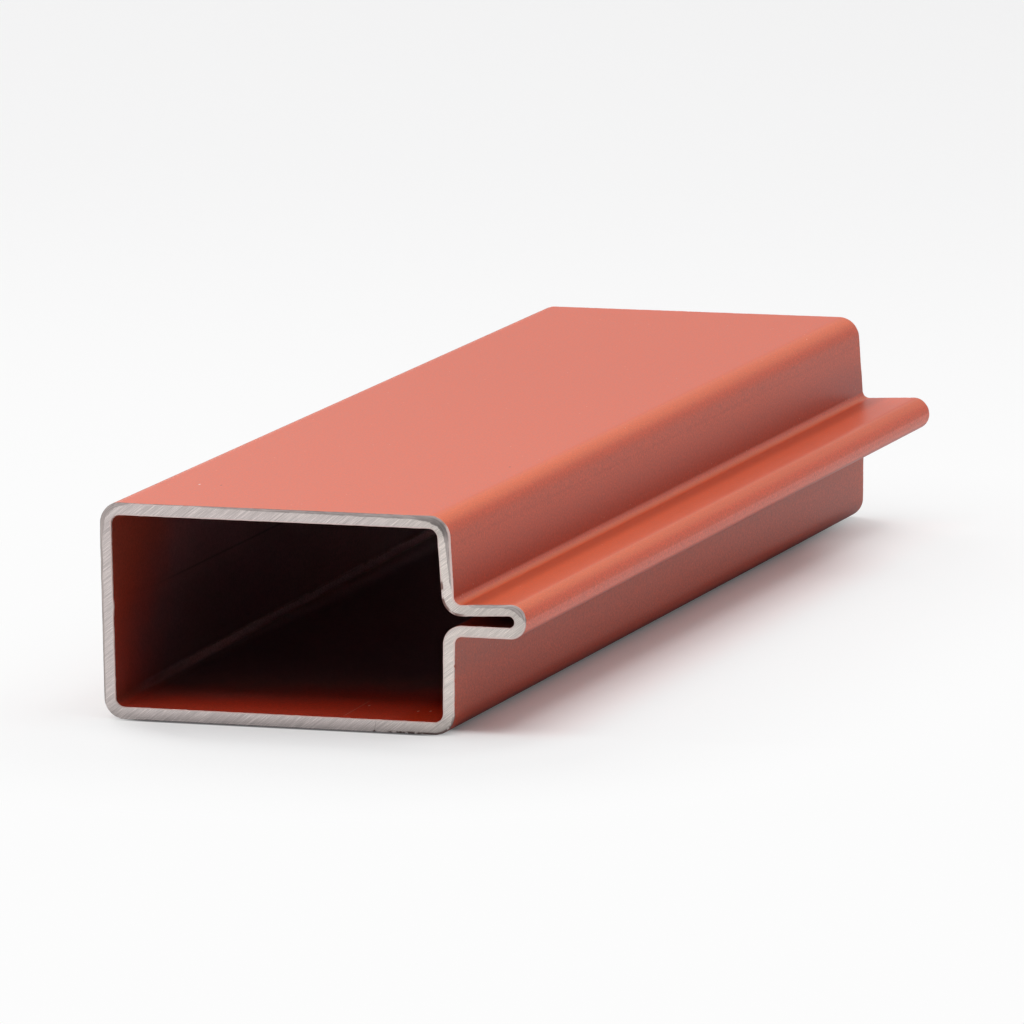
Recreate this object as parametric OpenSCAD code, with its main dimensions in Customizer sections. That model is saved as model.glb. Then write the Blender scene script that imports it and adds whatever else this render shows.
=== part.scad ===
// Rectangular steel tube with one folded fin along its side, a sawn length of
// roll-formed and seam-welded stock. A single strip makes the whole section: it
// runs up the back wall, over the top, down the fin side, out and back to make
// the fin's two layers, and home along the bottom to the weld seam.
//
// The section lies in X and Z and the tube runs along Y. The origin is on the
// resting face, midway along the tube and midway across its width, fin left out.

/* [Tube] */
// Length of the piece, from cut to cut
tube_len = 200; // [40:1:1500]
// Outside width of the tube, measured at the foot of the fin
tube_w = 60; // [40:0.5:100]
// Outside height of the tube
tube_h = 35; // [28:0.5:60]
// Thickness of the steel strip in the tube's walls
wall = 2; // [1.5:0.05:2.5]
// Outside radius of the four corner bends
corner_r = 3.5; // [2.8:0.1:6]

/* [Fin] */
// How far the fin stands out from the tube's side
fin_reach = 12; // [8:0.5:30]
// Thickness of the whole fin at its tip, both layers and the slot between them
fin_t = 5.6; // [4.8:0.1:8]
// Thickness of each of the fin's two layers, drawn a little thinner by the fold
fin_layer = 1.8; // [1.3:0.05:2.2]
// Height of the fin's underside above the tube's underside
fin_rise = 15.9; // [10:0.1:17]
// Angle at which the fin's upper layer climbs away from the lower one
fin_open = 2.5; // [0:0.1:3]
// Radius of the hollow at the fin's foot, above and below it
root_r = 1.2; // [0.5:0.1:2]

/* [Fin side of the tube] */
// Angle by which the wall above the fin leans in towards the top
lean_above = 3; // [0:0.1:4]
// Angle by which the wall below the fin leans in towards the bottom
lean_below = 1.5; // [0:0.1:4]

/* [Weld seam] */
// Height of the seam on the back wall above the tube's underside
seam_rise = 18.2; // [14:0.1:20]
// Width of the flat bead that the weld leaves inside the tube
bead_w = 2.4; // [1:0.1:4]
// Height of that bead above the wall's inner face
bead_h = 0.1; // [0.05:0.05:0.6]

/* [Hidden] */
$fn = 96;

// How far each arc laps the straight sides it joins, so that they always meet
lap = 0.0002;

// X of the back wall and of the fin side, with the origin midway between them
back_x = -tube_w / 2;
side_x = tube_w / 2;

// Heights of the fin's top: at its tip, and at its foot, where it is thinner
fin_top_tip = fin_rise + fin_t;
fin_top_root = fin_top_tip - fin_reach * tan(fin_open);

// Where the leaning wall would meet the tube's flat top and bottom
side_x_top = side_x - (tube_h - fin_top_root) * tan(lean_above);
side_x_bottom = side_x - fin_rise * tan(lean_below);

// Half the angle between two sides that meet at a corner
function half_corner(a, b, c) =
    let (u = unit(a - b), v = unit(c - b)) acos(u * v) / 2;

// The one radius that turns the fin's tip from its underside to its upper face
function tip_r(corners, i) =
    norm(corners[i + 1] - corners[i])
    / (1 / tan(half_corner(corners[i - 1], corners[i], corners[i + 1]))
       + 1 / tan(half_corner(corners[i], corners[i + 1], corners[i + 2])));

function unit(v) = v / norm(v);

// The normal to the left of a direction, which points into a loop that runs
// anticlockwise
function left_of(d) = [-d[1], d[0]];

// The sharp corners of the section's outside, anticlockwise from the bottom back
outer_corners = [
    [back_x, 0],
    [side_x_bottom, 0],
    [side_x, fin_rise],
    [side_x + fin_reach, fin_rise],
    [side_x + fin_reach, fin_top_tip],
    [side_x, fin_top_root],
    [side_x_top, tube_h],
    [back_x, tube_h],
];

// The strip's thickness along each outside edge, from its corner to the next
edge_wall = [wall, wall, fin_layer, wall, fin_layer, wall, wall, wall];

// Where the corners lie in that list: the first of the two that the fin's tip
// rounds off in one arc, the two at the fin's foot, and those that bend outward
TIP = 3;
ROOTS = [2, 5];
OUTWARD = [0, 1, TIP, 6, 7];

// The sharp corners of the hollow: each edge of the outside moved in by the
// strip's thickness there, and met again with its neighbour
inner_corners = [
    for (i = [0 : len(outer_corners) - 1])
        let (n = len(outer_corners),
             here = outer_corners[i],
             din = unit(here - outer_corners[(i + n - 1) % n]),
             dout = unit(outer_corners[(i + 1) % n] - here),
             win = edge_wall[(i + n - 1) % n],
             wout = edge_wall[i],
             along = (wout - win * (left_of(din) * left_of(dout)))
                     / (din * left_of(dout)))
            here + along * din + win * left_of(din)
];

// The radius of each bend: corners, feet of the fin and its tip. The foot bends
// turn the other way, so their inside radius is the larger one.
outer_radii = bend_radii(outer_corners, corner_r, root_r);
inner_radii = bend_radii(inner_corners, corner_r - wall, root_r + wall);

function bend_radii(corners, at_corner, at_root) = [
    for (i = [0 : len(corners) - 1])
        (i == TIP || i == TIP + 1) ? tip_r(corners, TIP)
        : len(search(i, ROOTS)) > 0 ? at_root
        : at_corner
];

// A closed loop of straight sides with a true arc at every corner. The straight
// sides run between the arcs' ends. Each outward bend then adds the disc its arc
// belongs to, and each inward bend takes its disc away.
module bent_loop(corners, radii) {
    n = len(corners);
    before = [for (i = [0 : n - 1]) corners[(i + n - 1) % n]];
    after = [for (i = [0 : n - 1]) corners[(i + 1) % n]];
    turn = [for (i = [0 : n - 1]) half_corner(before[i], corners[i], after[i])];
    arc_in = [for (i = [0 : n - 1])
        corners[i] + unit(before[i] - corners[i]) * radii[i] / tan(turn[i])];
    arc_out = [for (i = [0 : n - 1])
        corners[i] + unit(after[i] - corners[i]) * radii[i] / tan(turn[i])];
    centre = [for (i = [0 : n - 1])
        corners[i] + unit(unit(before[i] - corners[i]) + unit(after[i] - corners[i]))
                     * radii[i] / sin(turn[i])];
    difference() {
        union() {
            polygon([for (i = [0 : n - 1], end = [arc_in[i], arc_out[i]]) end]);
            for (i = OUTWARD) translate(centre[i]) circle(radii[i] + lap);
        }
        for (i = ROOTS) translate(centre[i]) circle(radii[i] + lap);
    }
}

// The low bead of the weld, the cap of a wide circle sunk into the back wall
module weld_bead() {
    bead_r = (pow(bead_w / 2, 2) + pow(bead_h, 2)) / (2 * bead_h);
    face_x = back_x + wall;
    intersection() {
        translate([face_x + bead_h - bead_r, seam_rise]) circle(bead_r);
        translate([face_x - wall / 2, seam_rise - bead_w])
            square([wall / 2 + bead_h, 2 * bead_w]);
    }
}

// The strip's whole section
module section() {
    difference() {
        bent_loop(outer_corners, outer_radii);
        bent_loop(inner_corners, inner_radii);
    }
    weld_bead();
}

// The one piece: the section run straight from one sawn end to the other
module finned_tube() {
    color([0.76, 0.32, 0.24])
        translate([0, tube_len / 2, 0]) rotate([90, 0, 0])
            linear_extrude(tube_len) section();
}

finned_tube();
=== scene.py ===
"""A sawn length of painted steel tube with one folded fin along its side, lying on a pale studio floor.

One strip of steel makes the whole tube, so one closed surface makes the whole piece. It is a grid of two
parameters. The first runs around the strip's section. The second runs along the outside from cut to cut,
across the far cut, back along the inside, and across the near cut to where it began.
"""

from functools import reduce
from math import cos, pi, radians, sin, tan

import bpy
import numpy as np
from mathutils import Matrix, Vector


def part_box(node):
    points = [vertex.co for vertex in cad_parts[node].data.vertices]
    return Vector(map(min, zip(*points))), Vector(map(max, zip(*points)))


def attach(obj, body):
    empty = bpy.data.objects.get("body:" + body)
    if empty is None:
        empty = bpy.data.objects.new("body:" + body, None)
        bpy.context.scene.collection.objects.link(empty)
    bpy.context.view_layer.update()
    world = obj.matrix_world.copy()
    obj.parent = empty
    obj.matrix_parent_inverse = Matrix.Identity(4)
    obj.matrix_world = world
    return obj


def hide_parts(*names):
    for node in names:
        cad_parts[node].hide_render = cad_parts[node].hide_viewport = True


bl_info = {
    "name": "Painted steel tube",
    "version": (1, 0, 0),
    "blender": (4, 5, 0),
    "location": "View3D > Sidebar > Steel Tube",
    "description": "Builds the skin of a painted, sawn steel tube with a folded fin, and a pale studio",
    "category": "Add Mesh",
}

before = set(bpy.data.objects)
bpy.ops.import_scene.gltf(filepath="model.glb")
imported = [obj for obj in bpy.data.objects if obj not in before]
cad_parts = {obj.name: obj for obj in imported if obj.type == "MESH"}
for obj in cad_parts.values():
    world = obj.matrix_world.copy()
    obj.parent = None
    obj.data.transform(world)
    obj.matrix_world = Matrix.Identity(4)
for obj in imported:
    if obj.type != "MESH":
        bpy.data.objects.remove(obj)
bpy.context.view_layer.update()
NODE = "finned_tube"
LOW, HIGH = (np.array(corner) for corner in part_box(NODE))
MM = 0.001


# Settings

class TubeSizes(bpy.types.PropertyGroup):
    """The strip's sizes. The tube's own length, width and height come from the part in model.glb."""
    wall: bpy.props.FloatProperty(
        name="Wall", description="Thickness of the strip in the tube's walls",
        default=2.0 * MM, unit="LENGTH")
    fin_layer: bpy.props.FloatProperty(
        name="Fin layer", description="Thickness of each of the fin's two layers",
        default=1.8 * MM, unit="LENGTH")
    fin_reach: bpy.props.FloatProperty(
        name="Fin reach", description="How far the fin stands out from the tube's side",
        default=12.0 * MM, unit="LENGTH")
    fin_thickness: bpy.props.FloatProperty(
        name="Fin thickness", description="Thickness of the whole fin at its tip",
        default=5.6 * MM, unit="LENGTH")
    fin_rise: bpy.props.FloatProperty(
        name="Fin rise", description="Height of the fin's underside above the floor",
        default=15.9 * MM, unit="LENGTH")
    fin_open: bpy.props.FloatProperty(
        name="Fin opening", description="Angle at which the fin's upper layer climbs away from the lower one",
        default=radians(2.5), unit="ROTATION")
    lean_above: bpy.props.FloatProperty(
        name="Lean above", description="Angle by which the wall above the fin leans in towards the top",
        default=radians(3.0), unit="ROTATION")
    lean_below: bpy.props.FloatProperty(
        name="Lean below", description="Angle by which the wall below the fin leans in towards the floor",
        default=radians(1.5), unit="ROTATION")
    corner_radius: bpy.props.FloatProperty(
        name="Corner radius", description="Outside radius of the four corner bends",
        default=3.5 * MM, unit="LENGTH")
    root_radius: bpy.props.FloatProperty(
        name="Root radius", description="Radius of the hollow at the fin's foot, above and below it",
        default=1.2 * MM, unit="LENGTH")
    bead_rise: bpy.props.FloatProperty(
        name="Weld rise", description="Height of the weld bead above the floor, inside the back wall",
        default=18.2 * MM, unit="LENGTH")
    bead_width: bpy.props.FloatProperty(
        name="Weld width", description="Width of the weld bead",
        default=2.4 * MM, unit="LENGTH")
    bead_height: bpy.props.FloatProperty(
        name="Weld height", description="Height of the weld bead above the wall's inner face",
        default=0.1 * MM, unit="LENGTH")
    cell: bpy.props.FloatProperty(
        name="Cell", description="Size of the surface's cells around the section",
        default=0.3 * MM, unit="LENGTH")


class CutWork(bpy.types.PropertyGroup):
    """What the saw and the grinder left on the two ends."""
    edge_round: bpy.props.FloatProperty(
        name="Edge rounding", description="Rounding of every edge of a cut",
        default=0.08 * MM, unit="LENGTH")
    grind_slope: bpy.props.FloatProperty(
        name="Grind slope", description="Angle between the ground-off edge and the cut",
        default=radians(28.0), unit="ROTATION")
    chip: bpy.props.FloatProperty(
        name="Chips", description="Depth of the chips along a cut's outer edge",
        default=0.05 * MM, unit="LENGTH")
    burr: bpy.props.FloatProperty(
        name="Burr", description="How far the burr stands into the hollow along a cut's inner edge",
        default=0.06 * MM, unit="LENGTH")


class Finish(bpy.types.PropertyGroup):
    """The colours and the gloss of the primer and of the bare steel."""
    primer_colour: bpy.props.FloatVectorProperty(
        name="Primer", description="Colour of the red oxide primer",
        default=(0.55, 0.073, 0.0235), subtype="COLOR", min=0.0, max=1.0)
    inside_colour: bpy.props.FloatVectorProperty(
        name="Inside", description="Colour deep inside the tube, where the primer hardly reached",
        default=(0.125, 0.048, 0.050), subtype="COLOR", min=0.0, max=1.0)
    mouth_colour: bpy.props.FloatVectorProperty(
        name="Mouth", description="Colour of the primer on the bottom just inside the tube's two mouths",
        default=(0.62, 0.037, 0.008), subtype="COLOR", min=0.0, max=1.0)
    primer_roughness: bpy.props.FloatProperty(
        name="Primer roughness", description="Middle roughness of the primer",
        default=0.40, subtype="FACTOR", min=0.0, max=1.0)
    steel_colour: bpy.props.FloatVectorProperty(
        name="Steel", description="Colour of the sawn steel",
        default=(0.66, 0.588, 0.569), subtype="COLOR", min=0.0, max=1.0)
    ground_colour: bpy.props.FloatVectorProperty(
        name="Ground steel", description="Colour of the ground-off edge",
        default=(0.43, 0.377, 0.36), subtype="COLOR", min=0.0, max=1.0)
    # The rim colour serves the primer's torn edge and the painted edge highlights on the cuts.
    rim_colour: bpy.props.FloatVectorProperty(
        name="Rim", description="Colour of the bright rim where the primer ends",
        default=(0.80, 0.62, 0.58), subtype="COLOR", min=0.0, max=1.0)
    steel_roughness: bpy.props.FloatProperty(
        name="Steel roughness", description="Middle roughness of the sawn steel",
        default=0.42, subtype="FACTOR", min=0.0, max=1.0)


class Studio(bpy.types.PropertyGroup):
    """The floor, the lamps, the sky and the camera."""
    floor_colour: bpy.props.FloatVectorProperty(
        name="Floor", description="Colour of the floor",
        default=(0.92, 0.92, 0.925), subtype="COLOR", min=0.0, max=1.0)
    floor_white: bpy.props.FloatVectorProperty(
        name="Floor white", description="Colour that the floor turns to away from the tube",
        default=(0.975, 0.975, 0.975), subtype="COLOR", min=0.0, max=1.0)
    floor_fade: bpy.props.FloatProperty(
        name="Floor fade", description="How white the floor is 30 mm from the tube",
        default=0.70, subtype="FACTOR", min=0.0, max=1.0)
    backdrop_colour: bpy.props.FloatVectorProperty(
        name="Backdrop", description="Colour of the backdrop, as the camera and reflections see it",
        default=(0.80, 0.80, 0.81), subtype="COLOR", min=0.0, max=1.0)
    sky_level: bpy.props.FloatProperty(
        name="Sky level", description="Brightness of the even light that the backdrop adds",
        default=0.01, min=0.0)
    focal: bpy.props.FloatProperty(
        name="Focal length", description="Focal length of the camera's lens on a 36 mm sensor, in mm",
        default=406.6, min=1.0)
    azimuth: bpy.props.FloatProperty(
        name="Azimuth", description="How far the camera stands round from the tube's end towards its fin",
        default=radians(20.687), unit="ROTATION")
    elevation: bpy.props.FloatProperty(
        name="Elevation", description="How far the camera looks down",
        default=radians(10.102), unit="ROTATION")
    roll: bpy.props.FloatProperty(
        name="Roll", description="How far the camera is turned about its own line of sight",
        default=radians(-1.297), unit="ROTATION")
    distance: bpy.props.FloatProperty(
        name="Distance", description="From the camera to the point that it looks at",
        default=1.80985, unit="LENGTH")


# The strip's section

# The straight sides, in order: bottom, lower wall, fin's underside, fin's top, upper wall, top and back wall
SIDES = range(7)
FIN_UNDERSIDE, FIN_TOP = 2, 3
# The bend that follows each side. FOOT is the fin's upper foot, and LOW_FOOT its lower one.
LOW_RIGHT, LOW_FOOT, TIP, FOOT, TOP_RIGHT, TOP_LEFT, LOW_LEFT = SIDES


def facing(angle):
    """The unit vectors that point at those angles, in X and Z."""
    return np.stack([np.cos(angle), np.sin(angle)], axis=-1)


def bend_centres(angle, reach, radius, tip_x):
    """The centre and the signed radius of each bend between one straight side and the next.

    A side is the line of points whose distance from the origin, measured the way the side faces, is its
    reach. A bend of signed radius r touches two sides where its centre's distance is their reach less r, so
    two such lines give the centre. The tip's radius isn't given: a third line, upright at tip_x, gives it
    too.
    """
    after = np.roll(angle, -1), np.roll(reach, -1)
    rows = np.stack([facing(angle), facing(after[0])], axis=1)
    sums = np.stack([reach - radius, after[1] - radius], axis=1)
    centre = np.linalg.solve(rows, sums[..., None])[..., 0]
    lines = np.array([[*facing(angle[TIP]), 1.0], [1.0, 0.0, 1.0], [*facing(after[0][TIP]), 1.0]])
    x, z, tip_radius = np.linalg.solve(lines, [reach[TIP], tip_x, after[1][TIP]])
    centre[TIP] = x, z
    radius = radius.copy()
    radius[TIP] = tip_radius
    return centre, radius


def strip_section(sizes):
    """The strip's outline, outside and inside, as points that face each other through its thickness.

    The seven straight sides are given by the way they face and by one point on each. A bend is its centre
    plus its signed radius times the direction that it faces, and that direction turns evenly from the side
    before to the side after. Its radius is less than nothing where it bends inwards, at the fin's foot. The
    inside has the same directions, with each side's reach less by the strip's thickness there. A straight
    side joins the end of one bend to the start of the next. Returns the outer and the inner points, their
    distance around the outside, and the distances at which the bends begin and end.
    """
    side_x, tip_x, top = HIGH[0] - sizes.fin_reach, HIGH[0], HIGH[2]
    fin_top = sizes.fin_rise + sizes.fin_thickness
    foot_top = fin_top - sizes.fin_reach * tan(sizes.fin_open)
    quarter = pi / 2
    angle = np.array([
        -quarter, -sizes.lean_below, -quarter, quarter + sizes.fin_open, sizes.lean_above, quarter, pi])
    on_side = np.array([
        (0.0, 0.0), (side_x, sizes.fin_rise), (side_x, sizes.fin_rise), (tip_x, fin_top),
        (side_x, foot_top), (0.0, top), (LOW[0], 0.0)])
    reach = (facing(angle) * on_side).sum(1)
    thick = np.full(angle.size, sizes.wall)
    thick[[FIN_UNDERSIDE, FIN_TOP]] = sizes.fin_layer
    corner, root = sizes.corner_radius, -sizes.root_radius
    radius = np.array([corner, root, 0.0, root, corner, corner, corner])

    outer = bend_centres(angle, reach, radius, tip_x)
    inner = bend_centres(angle, reach - thick, radius - sizes.wall, tip_x - sizes.wall)
    turn_to = np.append(angle[1:], angle[0] + 2 * pi)
    longest = np.abs(turn_to - angle) * np.maximum(np.abs(outer[1]), np.abs(inner[1]))
    spare_cells = 4
    bend_cells = np.ceil(longest / sizes.cell).astype(int) + spare_cells
    starts = outer[0] + outer[1][:, None] * facing(angle)
    ends = outer[0] + outer[1][:, None] * facing(turn_to)
    side_cells = np.ceil(np.linalg.norm(np.roll(starts, -1, axis=0) - ends, axis=1) / sizes.cell).astype(int)

    def outline(centre, radius):
        """One closed line of points: each bend, and then the straight side that leads to the next."""
        parts = []
        for k in SIDES:
            following = (k + 1) % len(SIDES)
            sweep = np.linspace(angle[k], turn_to[k], bend_cells[k] + 1)
            bend = centre[k] + radius[k] * facing(sweep)
            onward = centre[following] + radius[following] * facing(turn_to[k])
            share = np.linspace(0.0, 1.0, side_cells[k] + 1)[1:-1, None]
            parts += [bend, bend[-1] * (1 - share) + onward * share]
        return np.concatenate(parts)

    outside, inside = outline(*outer), outline(*inner)
    around = np.append(0.0, np.cumsum(np.linalg.norm(np.diff(outside, axis=0), axis=1)))
    first = np.cumsum(np.append(0, (bend_cells + side_cells)[:-1]))
    return outside, weld_bead(inside, sizes), around, around[first], around[first + bend_cells]


def weld_bead(inside, sizes):
    """The inside with the weld's bead on the back wall: the low cap of a wide circle, whose height above the
    wall is the circle's own height there less the depth that it is sunk."""
    half, high = sizes.bead_width / 2, sizes.bead_height
    round_r = (half**2 + high**2) / (2 * high)
    off = inside[:, 1] - sizes.bead_rise
    on_wall = (np.abs(off) < half) & (inside[:, 0] < LOW[0] + 1.5 * sizes.wall)
    rise = np.sqrt(np.maximum(round_r**2 - off**2, 0.0)) - (round_r - high)
    raised = inside.copy()
    raised[:, 0] += np.where(on_wall, np.maximum(rise, 0.0), 0.0)
    return raised


# The two cuts

def ripple(around, shortest, longest, seed):
    """An uneven line from 0 to 1 that closes on itself: sines of many whole wave numbers around the section,
    each with its own drawn phase, weaker as they get shorter, added up and stretched to fit."""
    draw = np.random.default_rng(seed)
    girth = around[-1] + (around[1] - around[0])
    waves = np.arange(max(1, int(girth / longest)), int(girth / shortest))
    phase = draw.uniform(0, 2 * pi, waves.size)
    size = draw.uniform(0.3, 1.0, waves.size) / np.sqrt(waves)
    line = (np.sin(2 * pi * around[:, None] * waves / girth + phase) * size).sum(1)
    return (line - line.min()) / np.ptp(line)


def smooth(share):
    """From 0 to 1 with level ends: three times the square less twice the cube."""
    share = np.clip(share, 0.0, 1.0)
    return share * share * (3 - 2 * share)


def facing_up(outside):
    """How far the outside faces up, from 1 to -1: the upward part of its normal, which is its forward step
    turned by a quarter."""
    step = np.roll(outside, -1, axis=0) - np.roll(outside, 1, axis=0)
    return -step[:, 0] / np.linalg.norm(step, axis=1)


def bend_highlights(around, bend_start, bend_end):
    """How far a point lies within an upper bend or the fin's tip, where the coat gets a painted highlight: a
    hump, highest past the turn's middle.
    """
    tip_and_top = [TIP, TOP_RIGHT, TOP_LEFT]
    share = (around[:, None] - bend_start[tip_and_top]) / (bend_end - bend_start)[tip_and_top]
    late = 1.4
    return np.sin(pi * np.clip(share, 0.0, 1.0)**late).max(axis=1)


def beside_foot(around, bend_start, bend_end):
    """How close a point lies to the fin's upper foot, on the wall above it and on the fin's top, where the
    coat
    gets painted shade: 1 next to the hollow and faded out further off. It is 0 in the hollow itself."""
    up_wall = (around - bend_end[FOOT]) / MM
    along_fin = (bend_start[FOOT] - around) / MM
    wall = np.clip(up_wall / 0.4 + 1.0, 0.0, 1.0) * (1 - smooth((up_wall - 1.5) / 7.0))
    fin = np.clip(along_fin / 0.4, 0.0, 1.0) * (1 - smooth((along_fin - 1.8) / 2.6))
    return np.maximum(wall, fin)


def under_fin(around, bend_start):
    """How close a point of the lower wall lies to the fin, where the coat gets painted shade: 1 at that
    wall's top, 0 from 7 mm down.
    """
    down_wall = (bend_start[LOW_FOOT] - around) / MM
    return np.where(down_wall > -2.0, 1 - smooth((down_wall - 3.0) / 4.0), 0.0)


def near_cut_marks(around, bend_start, bend_end, work):
    """What the grinder and the paint left on the near cut, and the light and shade painted on it, as lines
    over the distance around.

    Each row of the table is a place, the width of the ground-off edge there in millimetres, how light it is,
    how strong the pale rim along the outer edge is (a painted edge highlight), how strong the dark line of
    painted shade in its place is, how strong the smear of paint is, how light the sawn steel is (lighter or
    darker by place as painted light and shade), and how deep the chips are. Between two places each value
    changes evenly. The edge is ground along the fin's top, up the wall above the fin, round the top right
    bend and on along the top, where it thins out to the left, and again round the top left bend and down the
    back wall.
    """
    girth = around[-1] + (around[1] - around[0])

    def place(bend, share=0.0, off=0.0):
        return bend_start[bend] + share * (bend_end[bend] - bend_start[bend]) + off * MM

    table = np.array([
        # place, ground width, its tone, pale rim (painted highlight), dark line (painted shade), smear, steel
        # (painted light and shade), chips
        (place(LOW_RIGHT), 0.00, 1.00, 0.1, 0.6, 1.0, 0.95, 2.0),
        (place(LOW_RIGHT, 0.15), 0.00, 1.00, 0.2, 0.9, 1.0, 0.86, 4.0),
        (place(LOW_RIGHT, 0.6), 0.00, 1.00, 0.2, 1.0, 0.9, 0.80, 5.0),
        (place(LOW_RIGHT, 1.0, 1.0), 0.00, 1.00, 0.7, 1.0, 0.0, 1.08, 8.0),
        (place(LOW_FOOT, 0.0, -3.0), 0.00, 1.00, 0.8, 0.8, 0.0, 1.14, 6.0),
        (place(LOW_FOOT), 0.00, 1.00, 0.8, 0.1, 0.0, 1.10, 1.0),
        (place(LOW_FOOT, 1.0, 1.0), 0.00, 1.00, 0.8, 0.1, 0.0, 1.03, 1.0),
        (place(TIP), 0.00, 1.00, 0.8, 0.1, 0.0, 1.03, 1.0),
        (place(TIP, 0.45), 0.00, 0.80, 0.5, 0.5, 0.0, 0.93, 2.0),
        (place(TIP, 0.56), 0.50, 0.80, 0.1, 0.9, 0.0, 0.91, 4.0),
        (place(TIP, 0.64), 0.85, 0.80, 0.3, 0.3, 0.0, 0.91, 2.0),
        (place(TIP, 0.85), 0.85, 0.80, 0.1, 0.1, 0.0, 0.91, 1.0),
        (place(TIP, 1.0, 1.0), 0.50, 0.91, 0.05, 0.3, 0.0, 0.93, 1.0),
        (place(TIP, 1.0, 6.0), 0.45, 0.91, 0.1, 0.3, 0.0, 0.93, 1.0),
        (place(TIP, 1.0, 7.2), 0.00, 1.00, 0.5, 0.2, 0.0, 0.93, 1.0),
        (place(FOOT, 0.1), 0.00, 1.00, 0.7, 0.0, 0.8, 0.95, 1.0),
        (place(FOOT, 0.9), 0.00, 1.00, 0.9, 0.0, 1.0, 1.10, 1.0),
        (place(FOOT, 1.0, 0.8), 0.20, 1.03, 0.9, 0.0, 1.0, 1.15, 1.0),
        (place(FOOT, 1.0, 2.2), 0.50, 1.03, 0.9, 0.0, 0.9, 1.15, 1.0),
        (place(FOOT, 1.0, 2.8), 0.50, 1.03, 0.9, 0.0, 0.0, 1.15, 1.0),
        (place(TOP_RIGHT, 0.0, -1.0), 0.78, 1.03, 0.7, 0.0, 0.0, 1.15, 1.0),
        (place(TOP_RIGHT, 0.12), 1.00, 0.60, 0.9, 0.0, 0.0, 1.00, 1.0),
        (place(TOP_RIGHT, 0.3), 1.15, 0.44, 0.9, 0.0, 0.0, 0.92, 1.0),
        (place(TOP_RIGHT, 0.45), 1.15, 0.44, 0.2, 0.1, 0.0, 0.90, 1.0),
        (place(TOP_RIGHT, 0.75), 1.15, 0.44, 0.2, 0.1, 0.0, 0.92, 1.0),
        (place(TOP_RIGHT, 1.0, 0.5), 0.80, 0.62, 0.1, 0.1, 0.0, 1.00, 1.0),
        (place(TOP_RIGHT, 1.0, 2.5), 0.62, 0.78, 0.0, 0.1, 0.0, 1.00, 1.0),
        (place(TOP_RIGHT, 1.0, 14.0), 0.50, 0.78, 0.0, 0.6, 0.0, 1.00, 1.0),
        (place(TOP_RIGHT, 1.0, 27.0), 0.42, 0.80, 0.1, 0.6, 0.0, 1.00, 1.0),
        (place(TOP_RIGHT, 1.0, 38.0), 0.20, 0.90, 0.2, 0.8, 0.0, 1.00, 1.0),
        (place(TOP_RIGHT, 1.0, 45.0), 0.00, 1.00, 0.3, 0.9, 0.0, 1.00, 1.0),
        (place(TOP_LEFT, 0.0, -2.0), 0.15, 0.93, 0.2, 0.8, 0.0, 1.00, 0.6),
        (place(TOP_LEFT, 0.5), 1.10, 1.15, 0.0, 0.3, 0.0, 0.98, 0.6),
        (place(TOP_LEFT, 1.0, 3.0), 0.50, 1.20, 0.0, 0.3, 0.0, 0.98, 0.6),
        (place(TOP_LEFT, 1.0, 9.0), 0.45, 1.20, 0.0, 0.3, 0.0, 0.97, 0.6),
        (place(LOW_LEFT), 0.30, 1.05, 0.0, 0.4, 0.0, 0.97, 1.0),
        (place(LOW_LEFT, 0.5), 0.00, 1.00, 0.0, 0.6, 0.0, 0.77, 4.0),
        (place(LOW_LEFT, 1.0, 3.0), 0.00, 1.00, 0.0, 0.7, 0.0, 1.00, 4.0),
        (girth - 30.0 * MM, 0.00, 1.00, 0.0, 0.3, 0.0, 0.98, 1.5),
        (girth - 8.0 * MM, 0.00, 1.00, 0.0, 0.3, 0.0, 0.94, 1.0),
        (girth - 7.2 * MM, 0.00, 1.00, 0.0, 0.3, 1.0, 0.94, 1.0)])
    names = ("ground", "tone", "rim", "line", "smear", "steel", "chips")
    marks = {
        name: np.interp(around, table[:, 0], values, period=girth)
        for name, values in zip(names, table[:, 1:].T)}
    uneven = MM * (0.85 + 0.3 * ripple(around, 0.8 * MM, 12 * MM, seed=11))
    marks["ground"] = np.maximum(marks["ground"] * uneven, work.edge_round)
    notch_at, notch_depth, notch_half = girth - 10.1 * MM, 0.3 * MM, 0.22 * MM
    notch = notch_depth * np.exp(-((around - notch_at) / notch_half)**2)
    return marks, notch


def far_cut_marks(around, work):
    """The same for the far cut: a narrow, even ground-off edge all the way round and a thin pale rim, a
    painted edge highlight.
    """
    even = np.ones_like(around)
    width = (0.12 + 0.25 * ripple(around, 3 * MM, 60 * MM, seed=12)) * MM
    return {
        "ground": np.maximum(width, work.edge_round), "tone": even, "rim": 0.6 * even, "line": 0.1 * even,
        "smear": 0 * even, "steel": even, "chips": even}


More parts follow.
